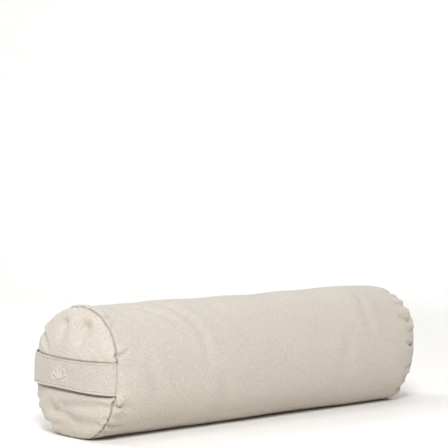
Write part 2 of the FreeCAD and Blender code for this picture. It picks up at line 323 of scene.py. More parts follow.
def strap_edge(side, beyond):
    """A path on the end along the strap's upper (1) or lower (-1) edge, in millimetres."""
    return [
        (y / MM, (strap_height(y) - AXIS + side * strap_half(y)) / MM + side * beyond)
        for y in np.linspace(-SEAM + 0.004, SEAM - 0.004, 9)
    ]


# -------- folds, dents and puckers

# A fold's path is given on its panel. On the body it is (distance from the nearest seam,
# degrees up from the front), and on an end it is (y, z) from the axis. Depth is inwards,
# width is half its span, ridge is how far the cloth beside it stands up, as a share of its
# depth, and fade is how much of the depth is left at the path's end. Power gives its section:
# 1.4 is creased, 2 is rounded, and 4 is flat-bottomed with steep sides.
Fold = namedtuple("Fold", "panel path depth width ridge fade power", defaults=(2,))
CREASED = 1.4
STEEP = 4

STRAPPED_END = -1
PLAIN_END = 1


def folds_on(panel, rows):
    """Folds of one panel, from rows of path, depth, width, ridge, fade and maybe power, with
    lengths in millimetres."""
    second = 1 if panel.endswith("body") else MM
    folds = []
    for path, depth, width, *rest in rows:
        path = [(u * MM, v * second) for u, v in path]
        folds.append(Fold(panel, path, depth * MM, width * MM, *rest))
    return folds


STRAP_PUCKERS = folds_on("strapped_body", [
    ([(0, 20.2), (6, 20.2), (26, 24)], 7, 3, 0.2, 0, CREASED),
    ([(10, 14), (30, 14.5)], -2.2, 8, 0, 0.4),
    ([(0, -20), (5, -24), (12, -24.5), (22, -19.5)], 6.6, 3, 0.35, 0.1, CREASED),
    ([(10, -15), (30, -14)], -2.2, 6.5, 0, 0.2),
    ([(16, -23), (40, -29)], 2.2, 4.5, 0.3, 0),
    ([(2, -42), (14, -44), (42, -45)], 6.6, 3, 0.35, 0, CREASED),
    ([(1, -51), (19, -53)], 6.6, 2.8, 0.35, 0, CREASED),
    ([(6, 56), (22, 58)], 3.2, 3.2, 0.3, 0, CREASED),
    ([(6, 46), (20, 49)], 2, 3.2, 0.3, 0, CREASED),
    ([(4, 78), (24, 80)], 2, 4.5, 0.4, 0),
])

DRAPES = folds_on("strapped_body", [
    ([(88, 78), (105, 67), (122, 57), (136, 42)], 1.5, 7, 0.8, 0.3),
    ([(142, 80), (154, 64), (171, 47), (178, 30), (176, 8)], 1.7, 8.5, 0.9, 0.2),
    ([(46, 70), (64, 58), (74, 44)], 1.4, 7, 0.7, 0.2),
    ([(60, 8), (75, -8), (80, -24)], 1.4, 11, 0.5, 0.2),
    ([(245, 62), (262, 44), (266, 22)], 1.1, 12, 0.6, 0.2),
    ([(215, -12), (228, -30), (226, -46)], 1.4, 13, 0.5, 0.2),
    ([(110, 130), (128, 148), (132, 165)], 1.6, 10, 0.6, 0.2),
]) + folds_on("plain_body", [
    ([(96, 56), (110, 40), (112, 18)], 1.6, 10, 0.6, 0.2),
    ([(170, 10), (181, -8), (178, -28)], 1.2, 12, 0.6, 0.2),
    ([(120, 122), (140, 138), (146, 160)], 1.6, 11, 0.6, 0.2),
])

PLAIN_END_PUCKERS = folds_on("plain_body", [
    ([(0, 44), (14, 47), (34, 50)], 4.8, 5, 0.3, 0),
    ([(2, 28), (14, 30), (34, 35)], 10.5, 6.6, 0.25, 0, CREASED),
    ([(0, 16), (28, 17)], 5, 5, 0.35, 0),
    ([(0, 2), (12, 3), (32, 8)], 8, 4.2, 0.3, 0, CREASED),
    ([(0, -20), (24, -22)], 5, 5, 0.3, 0),
    ([(0, -34), (22, -36)], 3.6, 4.6, 0.3, 0),
    ([(0, -47), (10, -48), (22, -50)], 11.5, 5.2, 0.25, 0, CREASED),
    ([(0, 66), (24, 68)], 3, 5.6, 0.4, 0),
])

STRAPPED_END_FOLDS = folds_on("strapped_end", [
    ([(-37, 75), (-34, 62), (-28, 40)], 11.6, 11.5, 0, 0),
    ([(-12, 86), (-12, 68), (-10, 50)], -3, 9, 0, 0.2),
    ([(9, 78), (11, 66), (14, 46)], 8.4, 8, 0, 0),
    ([(77, 63), (64, 56), (48, 45), (36, 32)], 7, 6, 0.25, 0.1),
    ([(96, 42), (88, 43), (78, 44)], -3, 6, 0, 0.2),
    (strap_edge(-1, -0.4), 8, 4, 0, 0.5, STEEP),
    (strap_edge(1, 0), 2.2, 2, 0, 0.7, STEEP),
    ([(0, -46), (-30, -44), (-66, -42), (-96, -42)], 3.8, 6.6, 0.3, 0.9),
    ([(30, -54), (0, -60), (-30, -69), (-66, -71)], 5, 9.5, 0.3, 0.6),
    ([(60, -84), (46, -78), (22, -77), (-4, -78)], 4.2, 5.5, 0.35, 0.1),
    ([(88, -50), (70, -42), (45, -36)], 2.6, 5.5, 0.3, 0.1),
])

PATH_STEPS = 4  # straight steps between two of a path's points

# Broad places where the stuffing has bulged or sunk.
SETTLING = folds_on("strapped_end", [
    ([(15, 92), (52, 76)], -0.6, 20, 0, 0.7),
    ([(86, -52), (70, -72), (50, -86)], -3.6, 20, 0, 0.8),
    ([(84, 48), (96, 0), (90, -30)], 2.6, 18, 0, 1),
]) + folds_on("plain_body", [
    ([(0, 10), (0, -14), (0, -40)], 7.2, 20, 0, 1),
]) + folds_on("strapped_body", [
    ([(6, 60), (6, 82), (6, 98)], -4.2, 10, 0, 0.7),
    ([(3, 112), (3, 130)], 2.6, 13, 0, 0.8),
])

# How far the top stands above (or sinks below) a straight line, along X.
TOP_PLACES = (-0.334, -0.322, -0.300, -0.265, -0.190, -0.100, 0.0, 0.120, 0.210, 0.260, 0.334)
TOP_RISES = (0, -0.0002, -0.0028, -0.0034, -0.0020, -0.0022, -0.0012, 0, 0.0018, 0.0026, 0)

# How far the strapped end's seam strays along X, by degrees up from the front.
LEAN_DEGREES = (-180, -110, -85, -60, -42, -25, -8, 12, 35, 55, 90, 130, 180)
LEAN = (0, 0, 0.0005, -0.0050, -0.0060, -0.0058, -0.0024, 0, 0.0030, 0.0030, 0.0002, 0, 0)


def fold_path(fold):
    """The fold's path as points in space on the smooth cover."""
    side = PLAIN_END if fold.panel.startswith("plain") else STRAPPED_END
    last = len(fold.path) - 1
    places = np.linspace(0, last, PATH_STEPS * last + 1)
    corners = np.array(fold.path)
    finer = np.stack([np.interp(places, range(last + 1), corners[:, i]) for i in (0, 1)], 1)
    path = []
    for u, v in finer:
        if fold.panel.endswith("body"):
            angle = math.pi - math.radians(v)
            path.append(around_axis(side * (END - u), body_radius(END - u), angle))
        else:
            across = min(math.hypot(u, v), SEAM)
            share = 0.0
            while CAP.at(share)[1] > across and share < CAP.length:
                share += 0.0005
            path.append((side * (END + CAP.at(share)[0]), u, AXIS + v))
    return np.array(path)


def along_path(points, path):
    """Distance from each point to the path, and how far along it the nearest place is."""
    lengths = np.linalg.norm(np.diff(path, axis=0), axis=1)
    starts = np.concatenate([[0], np.cumsum(lengths)])
    best = np.full(len(points), np.inf)
    share = np.zeros(len(points))
    for a, b, start, length in zip(path[:-1], path[1:], starts, lengths):
        t = np.clip((points - a) @ (b - a) / length**2, 0, 1)
        distance = np.linalg.norm(points - (a + t[:, None] * (b - a)), axis=1)
        nearer = distance < best
        best[nearer] = distance[nearer]
        share[nearer] = ((start + t * length) / starts[-1])[nearer]
    return best, share


def fold_depth(points, fold):
    """How far the fold moves each point inwards."""
    distance, share = along_path(points, fold_path(fold))
    profile = np.exp(-((distance / fold.width) ** fold.power))
    profile -= fold.ridge * bell(distance - 2 * fold.width, fold.width)
    return fold.depth * profile * (1 - (1 - fold.fade) * share**1.3)


def gathers(count, side, depth, keep_clear):
    """Small random puckers all round one seam, on the body and on the end beside it."""
    folds = []
    prefix = "plain" if side == PLAIN_END else "strapped"
    for k in range(count):
        degrees = (k + rng.uniform(-0.35, 0.35)) * 360 / count
        drift = rng.uniform(-4, 4)
        reach = rng.uniform(0.010, 0.026)
        inward = rng.uniform(0.012, 0.030)
        deep = depth * rng.uniform(0.35, 1)
        width = rng.uniform(0.0026, 0.0044)
        if any(abs((degrees - d + 180) % 360 - 180) < 7 for d in keep_clear):
            continue
        path = [(0, degrees), (reach, degrees + drift)]
        folds.append(Fold(prefix + "_body", path, deep, width, 0.3, 0, CREASED))
        path = [
            (-r * math.cos(math.radians(a)), r * math.sin(math.radians(a)))
            for r, a in ((SEAM - 0.001, degrees), (SEAM - inward, degrees + drift))
        ]
        folds.append(Fold(prefix + "_end", path, deep * 1.2, width * 1.2, 0.3, 0))
    return folds


STRAP_DEGREES = (0, 12, -12, 180, 168, 192)
GATHERS = gathers(16, STRAPPED_END, 0.0012, STRAP_DEGREES) + gathers(24, PLAIN_END, 0.0026, ())
FOLDS = STRAP_PUCKERS + DRAPES + PLAIN_END_PUCKERS + STRAPPED_END_FOLDS


def waves(angle, along, count, smallest):
    """A smooth random ripple over the surface, about one high, with a limit on how short
    its waves are."""
    total = np.zeros_like(angle)
    for _ in range(count):
        turns = rng.integers(0, int(math.tau * RADIUS / smallest) + 1)
        pace = rng.uniform(-1, 1) / smallest
        total += np.cos(turns * angle + math.tau * pace * along + rng.uniform(0, math.tau))
    return total / math.sqrt(count / 2)


def inward_directions(points):
    """Unit vectors into the filling: towards the axis on the body, and back along the
    crown's own curve on the ends."""
    inward = np.stack([0 * points[:, 0], -points[:, 1], AXIS - points[:, 2]], 1)
    past = np.maximum(0, abs(points[:, 0]) - END)
    edge = CROWN_EDGE - past
    over = past > 0
    across = np.linalg.norm(inward, axis=1)
    inward /= np.maximum(across, 1e-6)[:, None]
    lean = np.clip(past / CROWN_EDGE, 0, 1) ** 0.7
    back = np.stack([-np.sign(points[:, 0]), 0 * across, 0 * across], 1)
    turned = inward * np.sqrt(np.maximum(0, 1 - lean**2))[:, None] + back * lean[:, None]
    flatter = inward * (across / CAP.dome)[:, None] + back
    flatter /= np.linalg.norm(flatter, axis=1)[:, None]
    turned[edge < 0.002] = flatter[edge < 0.002]
    inward[over] = turned[over]
    return inward


def sculpt(points):
    """The stuffed cover's shape before it is relaxed: gathers along the seams, ripples, the
    seam drawn in by the strap's ends, and the underside settled on the floor."""
    inward = inward_directions(points)
    angle = np.arctan2(points[:, 2] - AXIS, points[:, 1])
    across = np.hypot(points[:, 1], points[:, 2] - AXIS)
    from_seam = END - abs(points[:, 0])
    depth = sum(fold_depth(points, fold) for fold in GATHERS + SETTLING)
    upward = np.clip(np.sin(angle), 0, 1) ** 2 * (from_seam >= 0)
    depth -= np.interp(points[:, 0], TOP_PLACES, TOP_RISES) * upward
    beside_seam = bell(from_seam, 0.010) * (across > 0.08)
    depth += SEAM_RIPPLE * beside_seam * waves(angle, 0 * angle, 10, 0.045)
    depth += BROAD_RIPPLE * waves(angle, points[:, 0], 14, 0.110)
    depth -= SEAM_LIP * bell(from_seam - 0.010, 0.006) * (from_seam >= 0)
    depth += strap_pull(points, across)
    past_plain = points[:, 0] - END
    depth += GATHERED_IN * bell(past_plain - 0.009, 0.007) * (past_plain > 0)
    depth *= 1 - zip_zone(points, ZIP_MARGIN)
    moved = points + inward * depth[:, None]
    moved[:, 0] += seam_lean(moved)
    moved[:, 0] += PLAIN_SEAM_OUT * bell(past_plain, SHOULDER_REACH)
    return rest_on_floor(moved)


def seam_lean(points):
    """How far along X the cover strays beside the strapped end's seam."""
    up = points[..., 2] - AXIS
    share = np.hypot(points[..., 1], up) / SEAM
    lean = np.interp(np.degrees(np.arctan2(up, -points[..., 1])), LEAN_DEGREES, LEAN)
    return lean * bell(points[..., 0] + END, 0.045) * share**2


def leaned(points, direction):
    """The points moved along with the leaning seam, or back from it."""
    moved = np.array(points, float)
    moved[..., 0] += direction * seam_lean(moved)
    return moved


def rest_on_floor(points):
    """Flattens whatever would be below the floor, with a soft turn up from it."""
    z = points[:, 2]
    points[:, 2] = (z + np.sqrt(z**2 + FLOOR_SOFTNESS**2)) / 2
    return points


def crease(mesh, smooth_points):
    """Presses the named folds into a panel whose vertices came from these smooth points."""
    depth = sum(fold_depth(smooth_points, fold) for fold in FOLDS)
    depth *= 1 - zip_zone(smooth_points, ZIP_MARGIN)
    points = coordinates(mesh) + inward_directions(smooth_points) * depth[:, None]
    points[:, 2] = np.maximum(points[:, 2], FLOOR_GAP)
    mesh.vertices.foreach_set("co", points.ravel())


def strap_pull(points, across):
    """How far the strap's two ends draw the cover in, beside the strapped end's seam."""
    from_seam = points[:, 0] + END
    reach = np.where(from_seam > 0, 0.017, 0.009)
    level = ease((0.011 - beside_strap(points)) / 0.014)
    return STRAP_PULL * bell(from_seam, reach) * level * ease((across - 0.080) / 0.015)


def zip_zone(points, margin):
    """One on the strip of the back that the zip and its closing seam hold flat."""
    beside = abs(points[:, 2] - AXIS)
    held = ease((margin + 0.008 - beside) / 0.008) * (points[:, 1] > 0)
    return held * ease((END - 0.020 - abs(points[:, 0])) / 0.020)


# -------- cloth


def new_object(name, mesh):
    made = bpy.data.objects.new(name, mesh)
    bpy.context.scene.collection.objects.link(made)
    return made


def mesh_from(name, points, faces):
    mesh = bpy.data.meshes.new(name)
    mesh.from_pydata(np.asarray(points).tolist(), [], [tuple(map(int, f)) for f in faces])
    mesh.update()
    return mesh


def vectors(collection, name):
    values = np.empty(3 * len(collection), np.float32)
    collection.foreach_get(name, values)
    return values.reshape(-1, 3).astype(float)


def coordinates(mesh):
    return vectors(mesh.vertices, "co")


def weigh(made, name, weights):
    group = made.vertex_groups.new(name=name)
    for value in np.unique(weights):
        if value > 0:
            group.add(np.flatnonzero(weights == value).tolist(), float(value), "REPLACE")
    return group


CLOTH = {
    "quality": 6,
    "mass": 0.02,
    "tension_stiffness": 30,
    "compression_stiffness": 30,
    "shear_stiffness": 8,
    "bending_stiffness": 0.06,
    "tension_damping": 10,
    "compression_damping": 10,
    "shear_damping": 10,
    "bending_damping": 2,
    "air_damping": 3,
    "use_pressure": True,
    "uniform_pressure_force": 9,
    "vertex_group_mass": "held",
    "pin_stiffness": 10,
    "vertex_group_shrink": "full",
    "shrink_min": 0,
    "shrink_max": -0.045,
}


def relax(points):
    """Lets the cover settle as cloth: its filling presses outwards, the cloth beside the
    seams is eased on a little full, and the seams, zip and resting strip hold still."""
    made = new_object("relaxing", mesh_from("relaxing", points, cover.all_faces()))
    on_seam = abs(abs(cover.points[:, 0]) - END) < 1e-6
    by_zip = zip_zone(points, ZIP_MARGIN / 2) > 0.5
    held = on_seam | (points[:, 2] < FLOOR_SOFTNESS / 2) | by_zip
    weigh(made, "held", held.astype(float))
    from_seam = np.where(
        abs(cover.points[:, 0]) <= END,
        END - abs(cover.points[:, 0]),
        CAP.length - np.linalg.norm(cover.flat, axis=1),
    )
    fullness = np.round(FULL_STEPS * ease(1 - from_seam / FULL_REACH)) / FULL_STEPS
    weigh(made, "full", fullness)
    cloth = made.modifiers.new("Cloth", "CLOTH")
    for name, value in CLOTH.items():
        setattr(cloth.settings, name, value)
    cloth.settings.effector_weights.gravity = 0
    cloth.collision_settings.use_collision = False
    cloth.point_cache.frame_end = FRAMES + 1
    for number in range(1, FRAMES + 1):
        bpy.context.scene.frame_set(number)
    evaluated = made.evaluated_get(bpy.context.evaluated_depsgraph_get())
    settled = coordinates(evaluated.to_mesh())
    evaluated.to_mesh_clear()
    bpy.context.scene.frame_set(1)
    bpy.data.objects.remove(made)
    move = settled - points
    distance = np.linalg.norm(move, axis=1)
    share = np.minimum(1, MOST_SETTLING / np.maximum(distance, 1e-9))
    settled = points + move * share[:, None]
    settled[:, 2] = np.maximum(settled[:, 2], FLOOR_GAP)
    return settled


shape = sculpt(cover.points)
shape = relax(shape)

# -------- panels


def set_flat(mesh, flat):
    """Keeps each vertex's place in the flat pattern, which the weave follows."""
    attribute = mesh.attributes.new("flat", "FLOAT_VECTOR", "POINT")
    padded = np.zeros((len(flat), 3), np.float32)
    padded[:, :2] = flat
    attribute.data.foreach_set("vector", padded.ravel())


def get_flat(mesh):
    return vectors(mesh.attributes["flat"].data, "vector")[:, :2]


def subdivided(mesh, levels=1):
    made = new_object("subdividing", mesh)
    modifier = made.modifiers.new("Subdivision", "SUBSURF")
    modifier.levels = modifier.render_levels = levels
    modifier.boundary_smooth = "PRESERVE_CORNERS"
    evaluated = made.evaluated_get(bpy.context.evaluated_depsgraph_get())
    result = bpy.data.meshes.new_from_object(evaluated)
    bpy.data.objects.remove(made)
    return result


def into_seam(points):
    """Unit vectors towards the axis, leaning under the body at the strapped end's seam."""
    by_seam = points[:, 0] < -END + UNDERCUT_REACH
    inward = np.stack([0 * points[:, 0], -points[:, 1], AXIS - points[:, 2]], 1)
    inward /= np.maximum(np.linalg.norm(inward, axis=1), 1e-6)[:, None]
    inward[:, 0] = UNDERCUT * by_seam
    return inward / np.linalg.norm(inward, axis=1)[:, None]


def sink_edges(mesh, from_edge, deep, wide):
    """Rolls the panel's edges inwards, as cloth does where it dips into a seam."""
    points = coordinates(mesh)
    points += into_seam(points) * (deep * bell(from_edge, wide))[:, None]
    mesh.vertices.foreach_set("co", points.ravel())


@contextmanager
def opened(mesh):
    """The mesh as a bmesh to edit, which is written back afterwards."""
    work = bmesh.new()
    work.from_mesh(mesh)
    yield work
    work.to_mesh(mesh)
    work.free()


def turn_in(mesh, depth):
    """Carries the panel's open edges inwards, towards the bolster's axis."""
    with opened(mesh) as work:
        open_edges = [e for e in work.edges if e.is_boundary]
        made = bmesh.ops.extrude_edge_only(work, edges=open_edges)
        for vertex in made["geom"]:
            if isinstance(vertex, bmesh.types.BMVert):
                vertex.co += Vector(into_seam(np.array([vertex.co]))[0]) * depth


def smooth(mesh):
    mesh.polygons.foreach_set("use_smooth", [True] * len(mesh.polygons))
    mesh.update()
    return mesh


def body_panel(points):
    """The body as one rolled sheet whose long edges meet at the back, open along the zip."""
    columns = AROUND + 1
    last = len(cover.rows) - 1
    shares = np.array(GROOVE_ROWS)
    steps = np.concatenate([[0], shares, np.arange(1, last), last - shares[::-1], [last]])
    rows = np.interp(steps, np.arange(last + 1), cover.rows)
    rings = points[np.array(cover.grid)]
    lower = np.minimum(steps.astype(int), last - 1)
    share = (steps - lower)[:, None, None]
    rings = between(rings[lower], rings[lower + 1], share)
    sheet = np.concatenate([rings, rings[:, :1]], axis=1).reshape(-1, 3)
    turns = np.append(column_angles, math.tau)
    pattern = np.array([(x, RADIUS * a) for x in rows for a in turns])
    faces = []
    for i, (x, after) in enumerate(zip(rows[:-1], rows[1:])):
        in_slot = abs(x + after) / 2 < SLOT_END
        for k in range(AROUND):
            if in_slot and k in (0, AROUND - 1):
                continue
            a = i * columns + k
            faces.append((a, a + 1, a + columns + 1, a + columns))
    mesh = mesh_from("canvas_body", sheet, faces)
    set_flat(mesh, pattern)
    mesh = subdivided(drop_loose(mesh))
    flat = get_flat(mesh)
    unfolded = around_axis(flat[:, 0], body_radius(flat[:, 0]), flat[:, 1] / RADIUS)
    crease(mesh, np.stack(unfolded, 1))
    from_end = np.maximum(0, END - abs(flat[:, 0]))
    from_closing = np.minimum(flat[:, 1], RADIUS * math.tau - flat[:, 1])
    in_slot = abs(flat[:, 0]) < SLOT_END + 0.0005
    points = coordinates(mesh)
    filled = ease(-beside_strap(points) / 0.003) * (points[:, 0] < 0)
    sink_edges(mesh, from_end, GROOVE_DEPTH * (1 - 0.8 * filled), GROOVE_WIDTH)
    sink_edges(mesh, np.where(in_slot, 1, from_closing), 0.0016, 0.0018)
    sink_edges(mesh, np.where(in_slot, abs(from_closing - SLOT_HALF), 1), 0.0005, 0.0012)
    turn_in(mesh, 0.0020)
    return smooth(mesh)


def drop_loose(mesh):
    with opened(mesh) as work:
        loose = [v for v in work.verts if not v.link_faces]
        bmesh.ops.delete(work, geom=loose, context="VERTS")
    return mesh


def panel_mesh(name, points, faces, flat):
    """A mesh of only the vertices that some faces use."""
    used = np.unique(np.array(faces))
    number = np.full(len(points), -1)
    number[used] = np.arange(len(used))
    mesh = mesh_from(name, points[used], number[np.array(faces)])
    set_flat(mesh, flat[used])
    return mesh


def end_panel(name, points, side, shaping=None):
    """One round end, with extra rings beside its seam. Shaping is applied before its edge
    is turned in."""
    rim = cover.grid[0] if side < 0 else cover.grid[-1]
    first = cover.first_ring[side]
    flat = cover.flat.copy()
    flat[rim] = CAP.length * np.stack([np.cos(column_angles), np.sin(column_angles)], 1)
    rings = [rim]
    for share in GROOVE_ROWS:
        rings.append(list(range(len(points), len(points) + AROUND)))
        points = np.concatenate([points, between(points[rim], points[first], share)])
        flat = np.concatenate([flat, between(flat[rim], flat[first], share)])
    rings.append(first)
    faces = list(cover.cap_faces[side][AROUND:])
    for outer, inner in zip(rings[:-1], rings[1:]):
        faces += ring_faces(outer, inner)
    if side < 0:
        faces = [face[::-1] for face in faces]
    mesh = subdivided(panel_mesh(name, points, faces, flat))
    flat = get_flat(mesh)
    from_edge = np.maximum(0, CAP.length - np.linalg.norm(flat, axis=1))
    depth, r = np.array([CAP.at(s) for s in from_edge]).T
    angle = np.arctan2(flat[:, 1], flat[:, 0])
    crease(mesh, np.stack(around_axis(side * (END + depth), r, angle), 1))
    sink_edges(mesh, from_edge, GROOVE_DEPTH, GROOVE_WIDTH)
    if shaping:
        shaping(mesh)
    turn_in(mesh, TURN_IN)
    return smooth(mesh)


# -------- strap's lie

STRAP_HEM = 0.0032  # from the strap's edge to its row of topstitching
STRAP_CHANNEL = 0.0012  # how deep that row draws the strap in
STRAP_BORDER = 0.0052  # the part of the section beside each edge that has finer columns
STRAP_BEND = 0.009  # the length at each end, where it turns, that has finer rows
STRAP_ROLL = 0.0013  # radius in which its middle turns down into the seam
STRAP_PIVOT = -END + 0.030  # the strap's outline is followed round this place on the axis
STRAP_TUCK = 0.003


def strap_outline(points):
    """The middle of the strap's thickness, seen from above, from the front seam to the back
    one: laid over the stuffed end, then turned down into the seam at both ends."""
    points = leaned(points, -1)
    strip = points[(beside_strap(points) < 0) & (points[:, 0] < -END + 0.0001)]
    angle = np.arctan2(strip[:, 1], STRAP_PIVOT - strip[:, 0])
    reach = np.hypot(strip[:, 1], STRAP_PIVOT - strip[:, 0])
    turns = np.linspace(-1, 1, 75) * math.atan2(SEAM, STRAP_PIVOT + END + 0.003)
    step = turns[1] - turns[0]
    outline = np.array([reach[abs(angle - a) < 1.2 * step].max() for a in turns])
    for _ in range(12):
        padded = np.concatenate([outline[:1], outline, outline[-1:]])
        smoothed = (padded[:-2] + 2 * padded[1:-1] + padded[2:]) / 4
        outline = np.maximum(smoothed, outline - 0.0003)
    gap = 0.0003 + STRAP_GAP * ease((1 - abs(turns / turns[-1])) / 0.45)
    outline = outline + gap + STRAP_THICKNESS / 2 - STRAP_SINK
    path = [(STRAP_PIVOT - r * math.cos(a), r * math.sin(a)) for r, a in zip(outline, turns)]
    return np.array(rolled_end(path[0], -1)[::-1] + path + rolled_end(path[-1], 1))


def rolled_end(start, mirror):
    """The strap's outline from its last place on the end, over the edge and into the seam."""
    x, y = -END - STRAP_THICKNESS / 2 - STRAP_ROLL, start[1] - mirror * 0.0012
    path = [
        (x + STRAP_ROLL * math.sin(a), y - mirror * STRAP_ROLL * (1 - math.cos(a)))
        for a in np.linspace(0, math.pi / 2, 7)
    ]
    path.append((path[-1][0], path[-1][1] - mirror * STRAP_TUCK))
    return path


class StrapLie:
    """The strap's outline measured by length, with the direction out of its face."""

    def __init__(self, outline):
        steps = np.linalg.norm(np.diff(outline, axis=0), axis=1)
        lengths = np.concatenate([[0], np.cumsum(steps)])
        self.length = lengths[-1]
        self.along = np.linspace(0, self.length, 700)
        path = np.stack([np.interp(self.along, lengths, outline[:, i]) for i in (0, 1)], 1)
        for _ in range(3):
            path[1:-1] = (path[:-2] + 2 * path[1:-1] + path[2:]) / 4
        way = np.gradient(path, axis=0)
        out = np.stack([-way[:, 1], way[:, 0]], 1)
        self.path = path
        self.out = out / np.linalg.norm(out, axis=1)[:, None]
        self.middle = self.along[np.argmin(abs(path[:, 1]))]

    def at(self, s):
        place = [np.interp(s, self.along, self.path[:, i]) for i in (0, 1)]
        out = [np.interp(s, self.along, self.out[:, i]) for i in (0, 1)]
        return place, out


strap_lie = StrapLie(strap_outline(shape))


def under_strap(mesh):
    """Presses the end in wherever it would come through the strap, most of all where the
    strap turns down into the seam."""
    points = leaned(coordinates(mesh), -1)
    behind_roll = -END - STRAP_THICKNESS - STRAP_ROLL + 0.0008
    lying = strap_lie.path[strap_lie.path[:, 0] < behind_roll]
    turns = np.arctan2(lying[:, 1], STRAP_PIVOT - lying[:, 0])
    reach = np.hypot(lying[:, 1], STRAP_PIVOT - lying[:, 0]) - STRAP_THICKNESS / 2 - 0.0003
    angle = np.arctan2(points[:, 1], STRAP_PIVOT - points[:, 0])
    own = np.hypot(points[:, 1], STRAP_PIVOT - points[:, 0])
    held = ease((0.0022 - beside_strap(points)) / 0.0026)
    push = np.maximum(0, own - np.interp(angle, turns, reach)) * held
    points[:, 0] += push * np.cos(angle)
    points[:, 1] -= push * np.sin(angle)
    points[:, 0] -= np.maximum(0, points[:, 0] - behind_roll) * held
    mesh.vertices.foreach_set("co", leaned(points, 1).ravel())


canvas_body = new_object("canvas_body", body_panel(shape))
canvas_strapped_end = new_object(
    "canvas_strapped_end", end_panel("canvas_strapped_end", shape, -1, under_strap)
)
canvas_plain_end = new_object("canvas_plain_end", end_panel("canvas_plain_end", shape, 1))

# -------- inner pillow


def inner_casing(depth, back):
    """The closed surface a little inside the cover and its folds, flat where it passes the
    zip."""
    mesh = mesh_from("casing", shape, cover.all_faces())
    normals = vectors(mesh.vertex_normals, "vector")
    bpy.data.meshes.remove(mesh)
    folded = sum(fold_depth(cover.points, fold) for fold in FOLDS)
    by_seam = bell(abs(cover.points[:, 0]) - END, 0.012)
    depth = depth + 1.4 * np.maximum(0, folded) + 0.0025 * by_seam
    points = shape - normals * depth[:, None]
    points[:, 1] = np.minimum(points[:, 1], back)
    return points


liner_points = inner_casing(LINER_DEPTH, LINER_BACK)
wrap_points = inner_casing(WRAP_DEPTH, WRAP_BACK)


def inner_panel(name, points, faces):
    return new_object(name, smooth(panel_mesh(name, points, faces, cover.flat)))


liner_pieces = [
    inner_panel("liner_case_body", liner_points, cover.body_faces()),
    inner_panel("liner_case_strapped_end", liner_points, cover.end_faces(-1)),
    inner_panel("liner_case_plain_end", liner_points, cover.end_faces(1)),
]

CORE_COLUMNS, CORE_ROWS, CORE_RINGS = 96, 40, 36
ROLL_PITCH = 0.011  # thickness of the sheet the core is rolled from
ROLL_GROOVE = 0.0024
CORE_HOLLOWS = 0.0012


def core_roll():
    """Wadding rolled up tight: a closed roll whose two ends show the sheet's spiral edge."""
    low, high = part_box("filling_core")
    half, radius = (high.x - low.x) / 2, (high.y - low.y) / 2
    rings = np.linspace(0, 1, CORE_RINGS + 1)[1:]
    profile = [(-1, ring) for ring in rings]
    profile += [(x, 1) for x in np.linspace(-1, 1, CORE_ROWS + 1)[1:-1]]
    profile += [(1, ring) for ring in rings[::-1]]
    turns = np.linspace(0, 1, CORE_COLUMNS, endpoint=False)
    points = []
    for x, ring in profile:
        spiral = 0.5 + 0.5 * np.cos(math.tau * (ring * radius / ROLL_PITCH - turns))
        hollows = 0.5 + 0.5 * np.sin(math.tau * (3 * turns + 2 * x)) * np.cos(9 * x)
        out = ring * (radius - CORE_HOLLOWS * hollows)
        along = x * (half - ROLL_GROOVE * spiral)
        points += list(zip(*around_axis(along, out, math.tau * turns)))
    mesh = mesh_from("wadding_core", points, tube_faces(0, len(profile), CORE_COLUMNS, True))
    return new_object("wadding_core", smooth(mesh))


# -------- strap


def strap_surface(s, w, lift):
    """A point on the strap: s along it, w up from its middle, lift out from its middle."""
    place, out = strap_lie.at(s)
    from_middle = abs(2 * s / strap_lie.length - 1)
    wide = float(strap_half(place[1])) / STRAP_HALF
    sag = 0.0005 * math.sin(s * 31) + 0.0004 * math.sin(s * 57 + 1)
    twist = 1 + STRAP_TWIST * float(ease(place[1] / SEAM))
    hug = STRAP_HUG * twist if w > 0 else -STRAP_LIP
    lift -= hug * (w / STRAP_HALF) ** 2 * float(ease((1 - from_middle) / 0.12))
    height = strap_height(place[1]) + w * wide + sag * abs(w) / STRAP_HALF
    return leaned((place[0] + out[0] * lift, place[1] + out[1] * lift, height), 1)


def strap_profile():
    """The strap's cross-section as (height, lift): flat faces, soft folded edges, and a
    shallow channel where each row of topstitching draws it in."""
    half = STRAP_THICKNESS / 2
    widths = np.concatenate(
        [
            np.linspace(-STRAP_HALF + 0.0006, -STRAP_HALF + STRAP_BORDER, 9),
            np.linspace(-STRAP_HALF + STRAP_BORDER, STRAP_HALF - STRAP_BORDER, 19)[1:-1],
            np.linspace(STRAP_HALF - STRAP_BORDER, STRAP_HALF - 0.0006, 9),
        ]
    )
    from_edge = STRAP_HALF - abs(widths)
    channel = STRAP_CHANNEL * bell(from_edge - STRAP_HEM, 0.0009)
    lips = 0.00030 * bell(from_edge - 0.0018, 0.0010)
    face = half - channel + lips
    outer = list(zip(widths, face))
    turn = [(STRAP_HALF - 0.0001, half * 0.6), (STRAP_HALF - 0.0001, -half * 0.6)]
    inner = [(w, -f) for w, f in reversed(outer)]
    back = [(-w, -f) for w, f in turn]
    return outer + turn + inner + back


def strap_band(name):
    section = strap_profile()
    fine = np.arange(0, STRAP_BEND, 0.0005)
    middle = np.linspace(STRAP_BEND, strap_lie.length - STRAP_BEND, 130)
    lengths = np.concatenate([fine, middle, strap_lie.length - fine[::-1]])
    points, flat = [], []
    for s in lengths:
        for w, lift in section:
            points.append(strap_surface(s, w, lift))
            flat.append((s, w))
    mesh = mesh_from(name, points, tube_faces(0, len(lengths), len(section), False))
    set_flat(mesh, np.array(flat))
    face_outwards(mesh)
    return smooth(subdivided(mesh))


def face_outwards(mesh):
    with opened(mesh) as work:
        bmesh.ops.recalc_face_normals(work, faces=work.faces)


canvas_strap = new_object("canvas_strap", strap_band("canvas_strap"))

# -------- stitches


